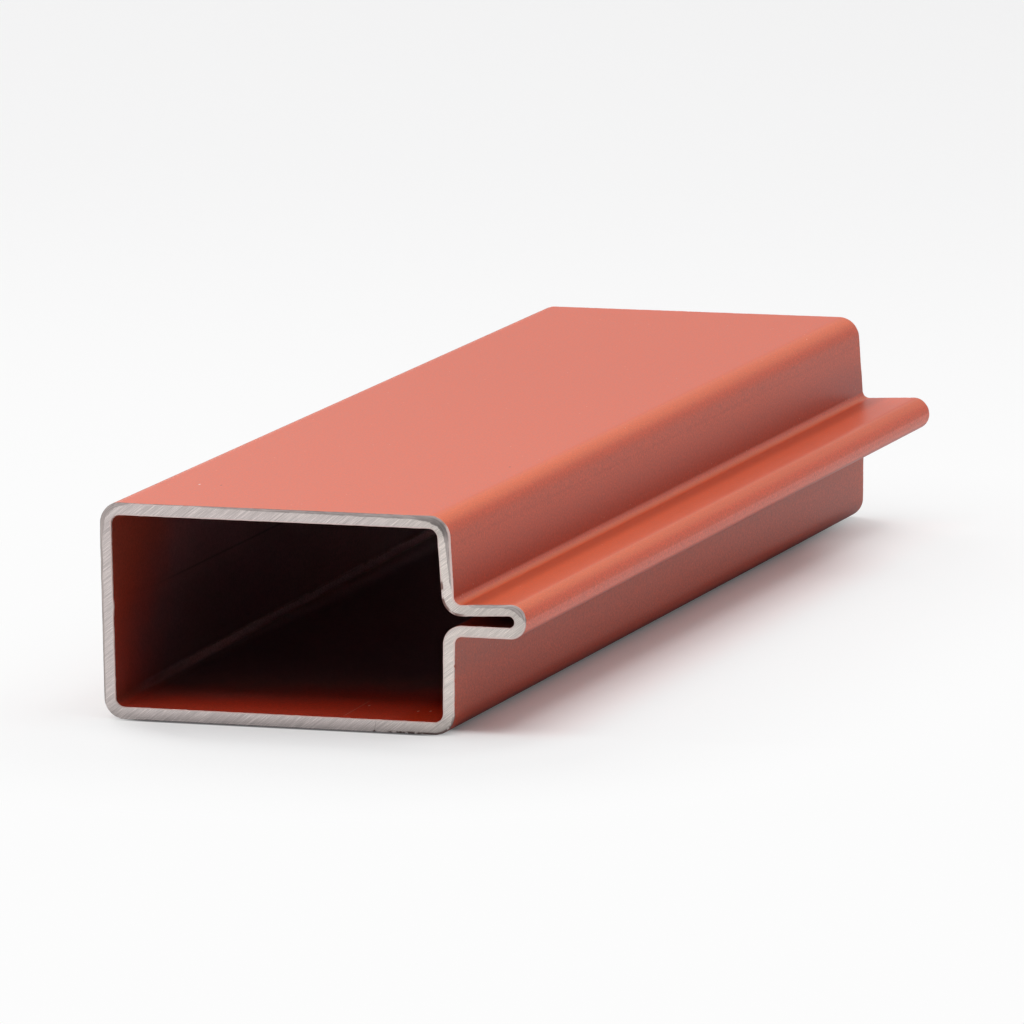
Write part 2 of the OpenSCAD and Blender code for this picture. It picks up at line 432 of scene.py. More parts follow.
def cut_rows(width, wall, work, chip, burr):
    """The rows across one cut, from its outer edge to its inner one.

    Each row is how far it lies through the wall, from 0 outside to 1 inside, and how far it lies back from
    the plane of the cut. The ground-off edge rises to that plane along a shallow bow: its depth is its slope
    times what is left of its width. The flat follows, and the inner edge falls away in a quarter round and
    ends in the burr.
    """
    width = np.maximum(width, chip + work.edge_round)
    bow = np.array([0.0, 0.04, 0.12, 0.3, 0.5, 0.7, 0.88, 0.96, 1.0])[:, None]
    grind_across = (chip + bow * (width - chip)) / wall
    grind_back = tan(work.grind_slope) * (width - chip) * (1 - bow) * (1 - 0.25 * bow)
    flat = np.array([0.0, 0.15, 0.4, 0.65, 0.85, 1.0])[:, None]
    gap, clear_of_edge = 0.03 * MM, 1.3 * work.edge_round
    flat_from, flat_to = (width + gap) / wall, 1 - clear_of_edge / wall
    flat_across = flat_from + flat * (flat_to - flat_from)
    turn = np.linspace(0.3, 1.0, 4)[:, None] * pi / 2
    lip_across = 1 - work.edge_round / wall * (1 - np.sin(turn)) + burr / wall * np.sin(turn)**2
    lip_back = work.edge_round * (1 - np.cos(turn)) * np.ones_like(width)
    across = np.concatenate([grind_across, flat_across, lip_across])
    back = np.concatenate([grind_back, np.zeros_like(flat_across), lip_back])
    return across, back


# The whole surface

def side_rows(length):
    """Where the rows lie along a side, as distances from its near cut: close together by the cuts, wide
    apart in the middle, and the same from either end."""
    by_cut = np.array([0.05, 0.12, 0.25, 0.5, 1.0, 2.0, 4.0, 8.0]) * MM
    middle_steps = 9
    middle = np.linspace(by_cut[-1], length - by_cut[-1], middle_steps)[1:-1]
    return np.concatenate([by_cut, middle, length - by_cut[::-1]])


def tube_surface(sizes, work):
    """The grid of points of the whole piece, and what each point knows about its place.

    A point is the outer point of the section moved through the wall towards the inner one, set at its place
    along Y. The rows go along the outside, over the far cut, back along the inside and over the near cut.
    """
    outside, inside, around, bend_start, bend_end = strip_section(sizes)
    thickness = np.linalg.norm(inside - outside, axis=1)
    length = HIGH[1] - LOW[1]
    near_marks, notch = near_cut_marks(around, bend_start, bend_end, work)
    far_marks = far_cut_marks(around, work)
    chip = [work.chip * ripple(around, 0.6 * MM, 9 * MM, seed)**3 for seed in (21, 23)]
    burr = [work.burr * ripple(around, 0.7 * MM, 8 * MM, seed)**2 for seed in (22, 24)]
    near_chip = chip[0] * near_marks.pop("chips") + notch
    far_chip = chip[1] * far_marks.pop("chips")
    near_cut = cut_rows(near_marks["ground"] + notch, thickness, work, near_chip, burr[0])
    far_cut = cut_rows(far_marks["ground"], thickness, work, far_chip, burr[1])

    along = side_rows(length)[:, None]
    fade = 8.0 * MM
    steep = 24

    def painted(near_end, far_end, near_across, far_across):
        """The rows of one side: even but for the ends. There they follow the cuts' edges, along Y within the
        fade and through the wall in a steeper way, close to the cut."""
        by_near, by_far = np.clip(1 - along / fade, 0, 1), np.clip(1 - (length - along) / fade, 0, 1)
        y = LOW[1] + along + near_end * by_near - far_end * by_far
        across = near_across * by_near**steep + far_across * by_far**steep
        return y, across

    out_y, out_across = painted(near_cut[1][0], far_cut[1][0], near_cut[0][0], far_cut[0][0])
    in_y, in_across = painted(near_cut[1][-1], far_cut[1][-1], near_cut[0][-1] - 1, far_cut[0][-1] - 1)
    y = np.concatenate([out_y, HIGH[1] - far_cut[1], in_y[::-1], LOW[1] + near_cut[1][::-1]])
    across = np.concatenate([out_across, far_cut[0], 1 + in_across[::-1], near_cut[0][::-1]])

    section = outside + across[..., None] * (inside - outside)
    points = np.stack([section[..., 0], y, section[..., 1]], axis=-1)

    n_side, n_cut = along.size, far_cut[0].shape[0]
    row = np.arange(y.shape[0])
    on_far = (row >= n_side) & (row < n_side + n_cut)
    on_near = row >= 2 * n_side + n_cut
    facts = {
        "around": np.broadcast_to(around, y.shape),
        "across": across * thickness,
        "left": (1 - across) * thickness,
        "from_cut": np.minimum(y - LOW[1] - near_cut[1][0], HIGH[1] - far_cut[1][0] - y),
        "hollow": np.broadcast_to(((row > n_side + n_cut - 1) & ~on_near)[:, None], y.shape),
        "up": np.broadcast_to(facing_up(outside), y.shape),
        "bend": np.broadcast_to(bend_highlights(around, bend_start, bend_end), y.shape),
        "foot": np.broadcast_to(beside_foot(around, bend_start, bend_end), y.shape),
        "under": np.broadcast_to(under_fin(around, bend_start), y.shape),
    }
    near_half = y < (LOW[1] + HIGH[1]) / 2
    facts |= {mark: np.where(near_half, near_marks[mark], far_marks[mark]) for mark in near_marks}
    return points, facts, on_far | on_near


def grid_faces(rows, columns):
    """Four corners for each cell of a grid that closes on itself both ways, as point numbers."""
    i, j = np.meshgrid(np.arange(rows), np.arange(columns), indexing="ij")
    here, below, right = i * columns, (i + 1) % rows * columns, (j + 1) % columns
    return np.stack([here + j, here + right, below + right, below + j], axis=-1).reshape(-1, 4)


def outward(points, faces):
    """The faces, turned over if the solid's volume comes out below nothing."""
    a, b, c, d = (points[faces[:, k]] for k in range(4))
    volume = (np.cross(b - a, c - a) * a).sum() + (np.cross(c - a, d - a) * a).sum()
    return faces if volume > 0 else faces[:, ::-1]


def mesh_object(name, points, faces, facts, face_material, materials):
    """A smooth mesh object at the origin, with its facts as point attributes and a material for each face."""
    mesh = bpy.data.meshes.new(name)
    mesh.vertices.add(len(points))
    mesh.vertices.foreach_set("co", points.astype(np.float32).ravel())
    mesh.loops.add(faces.size)
    mesh.loops.foreach_set("vertex_index", faces.astype(np.int32).ravel())
    mesh.polygons.add(len(faces))
    mesh.polygons.foreach_set("loop_start", np.arange(0, faces.size, 4, dtype=np.int32))
    mesh.polygons.foreach_set("material_index", face_material.astype(np.int32))
    for fact, values in facts.items():
        attribute = mesh.attributes.new(fact, "FLOAT", "POINT")
        attribute.data.foreach_set("value", values.astype(np.float32).ravel())
    for material in materials:
        mesh.materials.append(material)
    mesh.update(calc_edges=True)
    mesh.validate()
    mesh.shade_smooth()
    made = bpy.data.objects.new(name, mesh)
    bpy.context.scene.collection.objects.link(made)
    return made


# Materials

def numbered(values):
    """The values under the names of a node's inputs by number: i0, i1 and so on."""
    return {f"i{k}": value for k, value in enumerate(values)}


class Graph:
    """A material's node tree, written one node at a time."""

    def __init__(self, name):
        self.material = bpy.data.materials.new(name)
        self.material.use_nodes = True
        self.tree = self.material.node_tree
        self.tree.nodes.clear()

    def add(self, kind, output=0, settings=None, **inputs):
        """A node with its settings and its inputs, which are values or other nodes' outputs. Returns one
        output. An input goes by its name, or as i0, i1 and so on by its number."""
        node = self.tree.nodes.new(kind)
        for name, value in (settings or {}).items():
            setattr(node, name, value)
        for name, value in inputs.items():
            key = int(name[1:]) if name[0] == "i" and name[1:].isdigit() else name.replace("_", " ")
            if isinstance(value, bpy.types.NodeSocket):
                self.tree.links.new(value, node.inputs[key])
            else:
                node.inputs[key].default_value = value
        return node.outputs[output]

    def math(self, operation, *values):
        return self.add("ShaderNodeMath", settings={"operation": operation}, **numbered(values))

    def product(self, *factors):
        """All the factors multiplied together."""
        return reduce(lambda a, b: self.math("MULTIPLY", a, b), factors)

    def total(self, *terms):
        """All the terms added up."""
        return reduce(lambda a, b: self.math("ADD", a, b), terms)

    def less(self, value, taken):
        """The value with the other taken away."""
        return self.math("SUBTRACT", value, taken)

    def most(self, *values):
        """The largest of the values."""
        return reduce(lambda a, b: self.math("MAXIMUM", a, b), values)

    def line(self, value, slope, start):
        """The value times the slope, plus the start."""
        return self.math("MULTIPLY_ADD", value, slope, start)

    def ramp(self, value, low, high, to_low=0.0, to_high=1.0):
        """value from low to high, smoothly turned to to_low to to_high, and held at either end."""
        return self.add(
            "ShaderNodeMapRange", settings={"interpolation_type": "SMOOTHSTEP"}, Value=value,
            From_Min=low, From_Max=high, To_Min=to_low, To_Max=to_high)

    def band(self, value, middle, half, soft):
        """1 where the value lies within half of the middle, and faded out over soft more."""
        return self.ramp(self.math("ABSOLUTE", self.less(value, middle)), half, half + soft, 1.0, 0.0)

    def vector(self, operation, *values):
        return self.add("ShaderNodeVectorMath", settings={"operation": operation}, **numbered(values))

    def scaled(self, vector, by):
        return self.vector("MULTIPLY", vector, by)

    def length(self, vector):
        """How long a vector is."""
        return self.add("ShaderNodeVectorMath", output=1, settings={"operation": "LENGTH"}, i0=vector)

    def axes(self, place):
        """The X, the Y and the Z of a place."""
        return self.add("ShaderNodeSeparateXYZ", i0=place).node.outputs[:3]

    def spot(self, at, place, stretch):
        """1 close to a place on the piece, faded out at 1 mm once each axis is stretched."""
        off = self.length(self.scaled(self.vector("SUBTRACT", at, place), stretch))
        return self.ramp(off, 0.6, 1.0, 1.0, 0.0)

    def noise(self, vector, scale, detail=2.0, roughness=0.5):
        return self.add(
            "ShaderNodeTexNoise", Vector=vector, Scale=scale, Detail=detail, Roughness=roughness)

    def mix(self, factor, a, b, blend="MIX"):
        settings = {"data_type": "RGBA", "blend_type": blend}
        return self.add("ShaderNodeMix", output=2, settings=settings, i0=factor, i6=a, i7=b)

    def times(self, base, factor):
        """The base colour made lighter or darker by a factor that may change from place to place."""
        return self.add("ShaderNodeVectorMath", settings={"operation": "SCALE"}, i0=base, i3=factor)

    def tint(self, factor, base, times):
        """The base colour with each of its parts multiplied, as far as the factor goes."""
        return self.mix(factor, base, (*times, 1.0), "MULTIPLY")

    def fact(self, name):
        """A point attribute of the mesh."""
        return self.add("ShaderNodeAttribute", output=2, settings={"attribute_name": name})

    def fact_mm(self, name):
        """A point attribute that is a length, in millimetres."""
        return self.math("DIVIDE", self.fact(name), MM)

    def object_mm(self):
        """The place on the piece, in millimetres."""
        place = self.add("ShaderNodeTexCoord", output=3)
        return self.scaled(place, (1 / MM,) * 3)

    def show(self, shader):
        shown = self.tree.nodes.new("ShaderNodeOutputMaterial")
        self.tree.links.new(shader, shown.inputs["Surface"])
        return self.material

    def surface(self, **inputs):
        return self.show(self.add("ShaderNodeBsdfPrincipled", **inputs))


def colour(value, factor=1.0):
    """A colour property as four numbers, made darker or lighter by a factor."""
    return (*(min(1.0, c * factor) for c in value), 1.0)


def coat_inside(g, finish, at, depth, on_bottom):
    """The coat in the hollow, without its marks: bright by the two mouths and brown where the spray didn't
    reach. It reached further in on the bottom, high up and towards the fin. Deep inside it is painted
    lighter again, as painted light, and so is the upper part of the walls a little way in. The wall's foot,
    the bottom by the back wall and the slot in the fin are painted darker, as shade."""
    x, _, z = g.axes(at)
    drift = g.product(g.less(g.noise(at, 0.12, detail=3.0), 0.5), 10.0)
    reached = g.total(
        depth, drift, g.ramp(z, 1.8, 6.0, -8.0, 0.0), g.ramp(z, 8.0, 33.0, 0.0, -14.0),
        g.ramp(x, -28.0, 24.0, 5.5, -4.2))
    dark = colour(finish.inside_colour)

    by_cut, thin_coat = (0.50, 0.033, 0.006, 1.0), (0.20, 0.070, 0.056, 1.0)
    bottom = g.mix(g.ramp(depth, 0.0, 8.5), by_cut, colour(finish.mouth_colour))
    bottom = g.mix(g.ramp(reached, 0.0, 21.0), bottom, thin_coat)
    bottom = g.mix(g.ramp(reached, 14.0, 32.0), bottom, dark)
    # Painted light deep inside, and painted shade on the bottom towards the back wall.
    lightness = g.product(g.ramp(depth, 38.0, 85.0, 1.0, 2.3), g.ramp(x, -28.0, -8.0, 0.72, 1.0))
    bottom = g.times(bottom, lightness)

    middle, upper, foot = (0.345, 0.029, 0.009, 1.0), (0.345, 0.048, 0.022, 1.0), (0.245, 0.030, 0.013, 1.0)
    wall = g.mix(g.ramp(z, 12.0, 30.0), middle, upper)
    # The wall's foot is painted darker, as shade in the corner.
    wall = g.mix(g.ramp(z, 3.0, 7.0, 1.0, 0.0), wall, foot)
    wall = g.mix(g.ramp(reached, 0.0, 30.0), wall, dark)
    # Painted light on the walls deeper in, and on their upper part a little way in.
    wall = g.times(wall, g.ramp(depth, 30.0, 120.0, 1.0, 3.8))
    painted_light_upper = g.product(
        g.ramp(z, 12.0, 26.0), g.ramp(z, 26.0, 30.0, 1.0, 0.2),
        g.ramp(depth, 15.0, 32.0), g.ramp(depth, 50.0, 75.0, 1.0, 0.0))
    wall = g.times(wall, g.line(painted_light_upper, 0.9, 1.0))

    slot_shade = g.ramp(x, 30.0, 40.0, 1.0, 0.35)
    return g.times(g.mix(on_bottom, wall, bottom), slot_shade)


def inside_colour(g, finish, at, depth):
    """The coat in the hollow with its marks: a pale streak low on the back wall, a painted reflection of the
    far mouth's light, a scratch and three specks on the bottom by the near mouth, the specks being painted
    glints, and a thin dark line along the weld, the bead's painted shadow."""
    x, y, z = g.axes(at)
    on_bottom, on_back = g.ramp(z, 1.8, 3.2, 1.0, 0.0), g.ramp(x, -27.8, -27.4, 1.0, 0.0)
    inside = coat_inside(g, finish, at, depth, on_bottom)
    # A painted reflection: a pale line low on the back wall where the far mouth's light would glint.
    reflection_z = g.line(y, 0.0161, 4.65)
    far_mouth_reflection = g.product(g.band(z, reflection_z, 0.35, 0.7), on_back, g.ramp(depth, 5.0, 55.0, 0.0, 0.95))
    inside = g.mix(far_mouth_reflection, inside, (0.95, 0.78, 0.83, 1.0))

    scratch_x = g.line(y, -0.034, 6.9)
    scratch = g.product(g.band(x, scratch_x, 0.03, 0.12), g.band(y, -92.0, 5.0, 2.0), on_bottom)
    # The three specks are painted glints; the scratch is a real mark.
    speck_places = (20.4, -91.9, 2.0), (22.3, -91.4, 2.0), (11.1, -89.4, 2.0)
    specks = g.most(*(g.spot(at, place, (5.0, 2.0, 2.0)) for place in speck_places))
    inside = g.mix(g.most(g.product(scratch, 0.25), g.product(specks, 0.7)), inside, (0.80, 0.42, 0.32, 1.0))

    # A painted shadow: the weld bead's thin dark line on the back wall.
    weld_shadow_z = g.line(y, 0.007, 19.1)
    weld_shadow = g.product(g.band(z, weld_shadow_z, 0.03, 0.25), on_back, g.ramp(depth, 8.0, 35.0))
    return g.tint(weld_shadow, inside, (0.6, 0.6, 0.6))


def sprayed_coat(g, finish, at):
    """The primer's own colour: fine grain, faint streaks from the rolls and pale specks of dust, one in each
    cell whose drawn colour picks it. Returns the colour, the grain, the streaks and the specks."""
    grain = g.noise(at, 4.5, detail=3.0, roughness=0.65)
    greys = g.mix(g.ramp(grain, 0.25, 0.75), (0.30, 0.30, 0.30, 1.0), (1.0, 1.0, 1.0, 1.0))
    base = g.mix(0.25, colour(finish.primer_colour, 0.975), greys, "OVERLAY")
    streaks = g.noise(g.scaled(at, (2.2, 0.012, 2.2)), 1.0, detail=4.0, roughness=0.6)
    base = g.mix(g.ramp(streaks, 0.5, 0.75, 0.0, 0.05), base, colour(finish.primer_colour, 0.72))
    to_cell = g.add("ShaderNodeTexVoronoi", output=0, Vector=at, Scale=0.8)
    cell_red = g.add("ShaderNodeSeparateColor", Color=to_cell.node.outputs["Color"])
    specks = g.product(g.ramp(to_cell, 0.06, 0.10, 1.0, 0.0), g.math("GREATER_THAN", cell_red, 0.93))
    base = g.mix(g.product(specks, 0.55), base, (0.80, 0.62, 0.55, 1.0))
    return base, grain, streaks, specks


def painted_light_tints(g, x, y, up, by_floor):
    """The light and shade painted into the coat, and the tint that each gives it: painted light where it
    faces up, a pale painted sheen on the upper bends and on the fin's top, painted shade further off, by the
    fin's edge, where it faces down, by the floor, beside the fin's foot and under the fin, a pale painted
    reflection under the fin's tip, and painted highlights on the upper bends and the fin's tip. Returns pairs
    of the two."""
    from_above, on_fin = g.ramp(up, 0.45, 0.95), g.ramp(x, 29.5, 31.0)
    far_off = g.product(g.ramp(y, -100.0, 60.0), g.ramp(up, 0.45, 0.9))
    top_bends = g.product(g.ramp(up, 0.45, 0.80), g.ramp(up, 0.97, 1.0, 1.0, 0.0))
    fin_edge = g.product(g.ramp(up, 0.955, 0.98), g.ramp(up, 0.992, 0.998, 1.0, 0.0), g.ramp(x, 36.0, 38.0))
    tip_underside = g.product(
        g.ramp(up, -0.65, -0.45), g.ramp(up, 0.0, 0.15, 1.0, 0.0), g.ramp(x, 38.0, 40.0))
    return (
        (from_above, (1.20, 1.245, 1.035)),
        (top_bends, (1.00, 1.45, 1.92)),
        (g.product(g.ramp(up, 0.90, 0.99), on_fin), (1.00, 1.18, 1.55)),
        (fin_edge, (0.98, 0.84, 0.78)),
        (far_off, (0.93, 0.90, 0.90)),
        (g.product(far_off, on_fin), (0.93, 0.84, 0.80)),
        (g.ramp(up, -0.80, -0.45, 1.0, 0.0), (0.60, 0.43, 0.43)),
        (by_floor, (0.58, 0.37, 0.35)),
        (tip_underside, (1.12, 1.55, 2.60)),
        (g.fact("bend"), (1.17, 1.10, 1.04)),
        (g.fact("foot"), (0.74, 0.66, 0.62)),
        (g.fact("under"), (0.84, 0.92, 0.96)))


def top_marks(g, base, at, x, z):
    """The colour with one pale speck, two dark ones and a small scuff on the top, and the line that a roll
    left along the upper wall."""
    pale, dark, round_spot = (0.85, 0.80, 0.78, 1.0), (0.20, 0.03, 0.015, 1.0), (6.0, 2.4, 3.0)
    specks = (pale, (-20.2, -81.4, 35.0)), (dark, (-16.5, -81.3, 35.0)), (dark, (22.8, -54.8, 35.0))
    for speck, place in specks:
        base = g.mix(g.spot(at, place, round_spot), base, speck)
    base = g.tint(g.spot(at, (3.5, -76.4, 35.0), (1.2, 4.0, 3.0)), base, (0.86, 0.80, 0.80))
    roll_line = g.product(g.band(z, 30.3, 0.1, 0.25), g.ramp(x, 20.0, 25.0))
    return g.tint(roll_line, base, (0.95, 0.93, 0.93))


def red_primer(finish):
    """Satin red oxide primer: grain, streaks and specks, painted light and shade by the way each place faces
    and what shades it, a faint dark, dull line of painted shade along the back bend, the hollow's own coat, a
    fine mottle over all of it, and a thin pale rim, broken here and there, where the saw went through it,
    partly the primer's edge and partly a painted edge highlight."""
    g = Graph("red_oxide_primer")
    at = g.object_mm()
    x, y, z = g.axes(at)
    base, grain, streaks, specks = sprayed_coat(g, finish, at)
    # by_floor marks the low wall on the fin's side, which is painted darker there as shade and given less
    # gloss. The loop below paints light and shade into the coat.
    up, by_floor = g.fact("up"), g.product(g.ramp(z, 0.2, 4.4, 1.0, 0.0), g.ramp(x, 18.0, 22.0))
    for where, times in painted_light_tints(g, x, y, up, by_floor):
        base = g.tint(where, base, times)
    # A painted dark line of shade along the top of the back bend, which is also made rougher and less glossy.
    back_edge_shade = g.product(
        g.ramp(up, 0.95, 0.99, 1.0, 0.0), g.ramp(x, -27.0, -26.0, 1.0, 0.0), g.ramp(up, 0.875, 0.90))
    base = g.mix(g.product(back_edge_shade, 0.5), base, (0.28, 0.10, 0.10, 1.0))
    base = top_marks(g, base, at, x, z)

    hollow, from_cut = g.fact("hollow"), g.fact_mm("from_cut")
    base = g.mix(hollow, base, inside_colour(g, finish, at, from_cut))
    mottle = g.less(g.noise(at, 2.8, detail=4.0, roughness=0.8), 0.5)
    base = g.times(base, g.line(g.product(mottle, g.ramp(up, 0.3, 0.9, 1.0, 0.3)), 1.5, 1.0))
    # The pale rim where the saw went through is partly the primer's torn edge and partly a painted edge
    # highlight.
    torn = g.total(from_cut, g.product(g.noise(at, 1.6, detail=3.0), -0.28))
    rim = g.product(g.ramp(torn, -0.12, 0.02, 1.0, 0.0), g.most(hollow, g.fact("rim")))
    base = g.mix(rim, base, colour(finish.rim_colour))

    roughness = g.total(
        finish.primer_roughness, g.ramp(grain, 0.3, 0.7, -0.03, 0.05),
        g.product(hollow, 0.38), g.product(back_edge_shade, 0.3))
    peel = g.noise(at, 1.1, detail=2.0)
    height = g.total(g.product(peel, 0.5), g.product(grain, 0.35), g.product(streaks, 0.4), specks)
    bump = g.add("ShaderNodeBump", Strength=0.35, Distance=0.02 * MM, Height=height)
    shine = g.line(g.most(by_floor, g.product(back_edge_shade, 0.6)), -0.5, 0.5)
    return g.surface(Base_Color=base, Roughness=roughness, Normal=bump, IOR=1.4, Specular_IOR_Level=shine)


def saw_marks(g, finish, at, slanting):
    """The sawn face: broad and fine slanting marks, a few dark lines and a few wide dull bands among them,
    grain and blotches. Returns the colour and the marks, broad and fine."""
    broad = g.noise(g.scaled(slanting, (0.16, 0.0, 6.5)), 1.0, detail=5.0, roughness=0.75)
    fine = g.noise(g.scaled(slanting, (0.40, 0.0, 16.0)), 1.0, detail=3.0)
    lines = g.noise(g.scaled(slanting, (0.08, 0.0, 7.0)), 1.0, detail=2.0)
    bands = g.noise(g.scaled(slanting, (0.05, 0.0, 1.6)), 1.0, detail=2.0)
    grain = g.noise(at, 12.0, detail=2.0)
    blotch = g.noise(at, 0.45, detail=4.0)
    x, _, z = g.axes(at)
    steel = finish.steel_colour
    on_top = g.ramp(z, 31.0, 33.0, 0.20, 0.45)
    base = g.mix(g.ramp(broad, 0.40, 0.60), colour(steel, 0.80), colour(steel, 1.21))
    base = g.mix(g.ramp(fine, 0.42, 0.58, 0.65, 0.0), base, colour(steel, 0.80))
    base = g.mix(g.product(g.ramp(lines, 0.56, 0.66), on_top), base, colour(steel, 0.45))
    base = g.mix(g.ramp(bands, 0.625, 0.64, 0.0, 0.45), base, colour(steel, 0.70))
    base = g.mix(g.ramp(blotch, 0.45, 0.75, 0.0, 0.4), base, colour(steel, 0.86))
    base = g.times(base, g.ramp(grain, 0.3, 0.7, 0.90, 1.12))
    return g.tint(g.ramp(x, 12.0, 30.0), base, (1.0, 1.01, 0.975)), broad, fine


def ground_edge(g, finish, slanting, across):
    """The ground-off outer edge: where it is, with a border shaken by the saw marks, its streaked colour, and
    the scratches that run along it."""
    ground_to = g.fact_mm("ground")
    along = g.add("ShaderNodeCombineXYZ", i0=g.fact_mm("around"), i1=across)
    scratches = g.noise(g.scaled(along, (0.35, 7.0, 0.0)), 1.0, detail=3.0, roughness=0.65)
    shake = g.noise(g.scaled(slanting, (0.3, 0.0, 4.0)), 1.0, detail=3.0, roughness=0.7)
    shaken = g.total(g.less(across, ground_to), g.product(g.less(shake, 0.5), 0.2))
    where = g.product(g.ramp(shaken, -0.10, 0.08, 1.0, 0.0), g.ramp(ground_to, 0.10, 0.25))
    streaked = g.mix(
        g.ramp(scratches, 0.35, 0.65), colour(finish.ground_colour, 0.75), colour(finish.ground_colour, 1.15))
    streaked = g.times(streaked, g.product(g.fact("tone"), g.ramp(across, 0.05, 0.35, 0.92, 1.0)))
    return where, streaked, scratches


def paint_smears(g, at, across, left):
    """Where paint was dragged over the cut, in daubs: along the inner edge above the fin's foot and along the
    outer edge by the floor. Returns that and its colour, redder higher up."""
    _, _, z = g.axes(at)
    daub = g.ramp(g.noise(at, 0.9, detail=4.0), 0.40, 0.52)
    in_bend = g.product(g.ramp(left, 0.30, 0.45, 1.0, 0.0), g.ramp(z, 10.0, 12.0))
    by_floor = g.product(g.ramp(across, 0.25, 0.45, 1.0, 0.0), g.ramp(z, 3.0, 4.0, 1.0, 0.0))
    where = g.product(g.most(in_bend, by_floor), g.fact("smear"), daub)
    return where, g.mix(g.ramp(z, 3.0, 10.0), (0.10, 0.045, 0.038, 1.0), (0.22, 0.061, 0.045, 1.0))


def sawn_steel(finish):
    """Bare steel as the saw left it: slanting marks across the wall, a darker ground-off outer edge with
    scratches along it, pale rims that are painted edge highlights, a dark line of painted shade where the
    outer rim is missing, a hairline across the bottom wall, and two smears of paint. The steel is painted
    darker low down by the floor and lighter along its very bottom edge, as painted shade and light."""
    g = Graph("sawn_steel")
    at = g.object_mm()
    x, y, z = g.axes(at)
    slant = (0.0, radians(-37.0), 0.0)
    slanting = g.add("ShaderNodeMapping", settings={"vector_type": "TEXTURE"}, Vector=at, Rotation=slant)
    base, broad, fine = saw_marks(g, finish, at, slanting)
    # Painted shade and light: the steel is darker low down by the floor, lighter along its very bottom edge,
    # and lighter or darker by place through the table's steel column.
    shade = g.product(g.fact("steel"), g.ramp(z, 0.5, 1.9, 0.79, 1.03), g.ramp(z, 0.1, 0.4, 1.35, 1.0))
    base = g.times(base, shade)

    across, left = g.fact_mm("across"), g.fact_mm("left")
    on_ground, streaked, scratches = ground_edge(g, finish, slanting, across)
    base = g.mix(on_ground, base, streaked)

    wander = g.product(g.noise(at, 1.3, detail=3.0), 0.16)
    from_inner, from_outer = g.less(left, wander), g.less(across, wander)
    # The pale rims along the inner and outer edges are painted edge highlights.
    outer_rim = g.product(g.ramp(from_outer, 0.10, 0.28, 1.0, 0.0), g.fact("rim"))
    rim = g.most(g.ramp(from_inner, 0.03, 0.11, 1.0, 0.0), outer_rim)
    base = g.mix(rim, base, g.times(tuple(finish.rim_colour), shade))
    # A dark line of painted shade along the outer edge where the rim is missing; along the bottom it is the
    # contact shadow. It also makes the steel there dull.
    dark_edge_shade = g.product(g.ramp(from_outer, -0.06, 0.03, 1.0, 0.0), g.fact("line"))
    hairline_x = g.line(z, 0.2, 16.0)
    hairline = g.product(
        g.band(x, hairline_x, 0.03, 0.06), g.ramp(z, 1.6, 1.9, 0.35, 0.0), g.ramp(y, -99.0, 0.0, 1.0, 0.0))
    base = g.mix(g.most(g.product(dark_edge_shade, 0.8), hairline), base, (0.12, 0.075, 0.070, 1.0))
    smear, smear_colour = paint_smears(g, at, across, left)
    base = g.mix(g.product(smear, 0.85), base, smear_colour)

    dull = g.most(g.product(rim, 0.6), dark_edge_shade, smear)
    roughness = g.total(
        g.ramp(broad, 0.3, 0.7, 0.07, -0.05), finish.steel_roughness, g.product(on_ground, 0.06))
    height = g.total(broad, g.product(fine, 0.4), g.product(scratches, on_ground, 0.8))
    bump = g.add("ShaderNodeBump", Strength=0.5, Distance=0.03 * MM, Height=height)
    return g.surface(Base_Color=base, Metallic=g.less(1.0, dull), Roughness=roughness, Normal=bump)


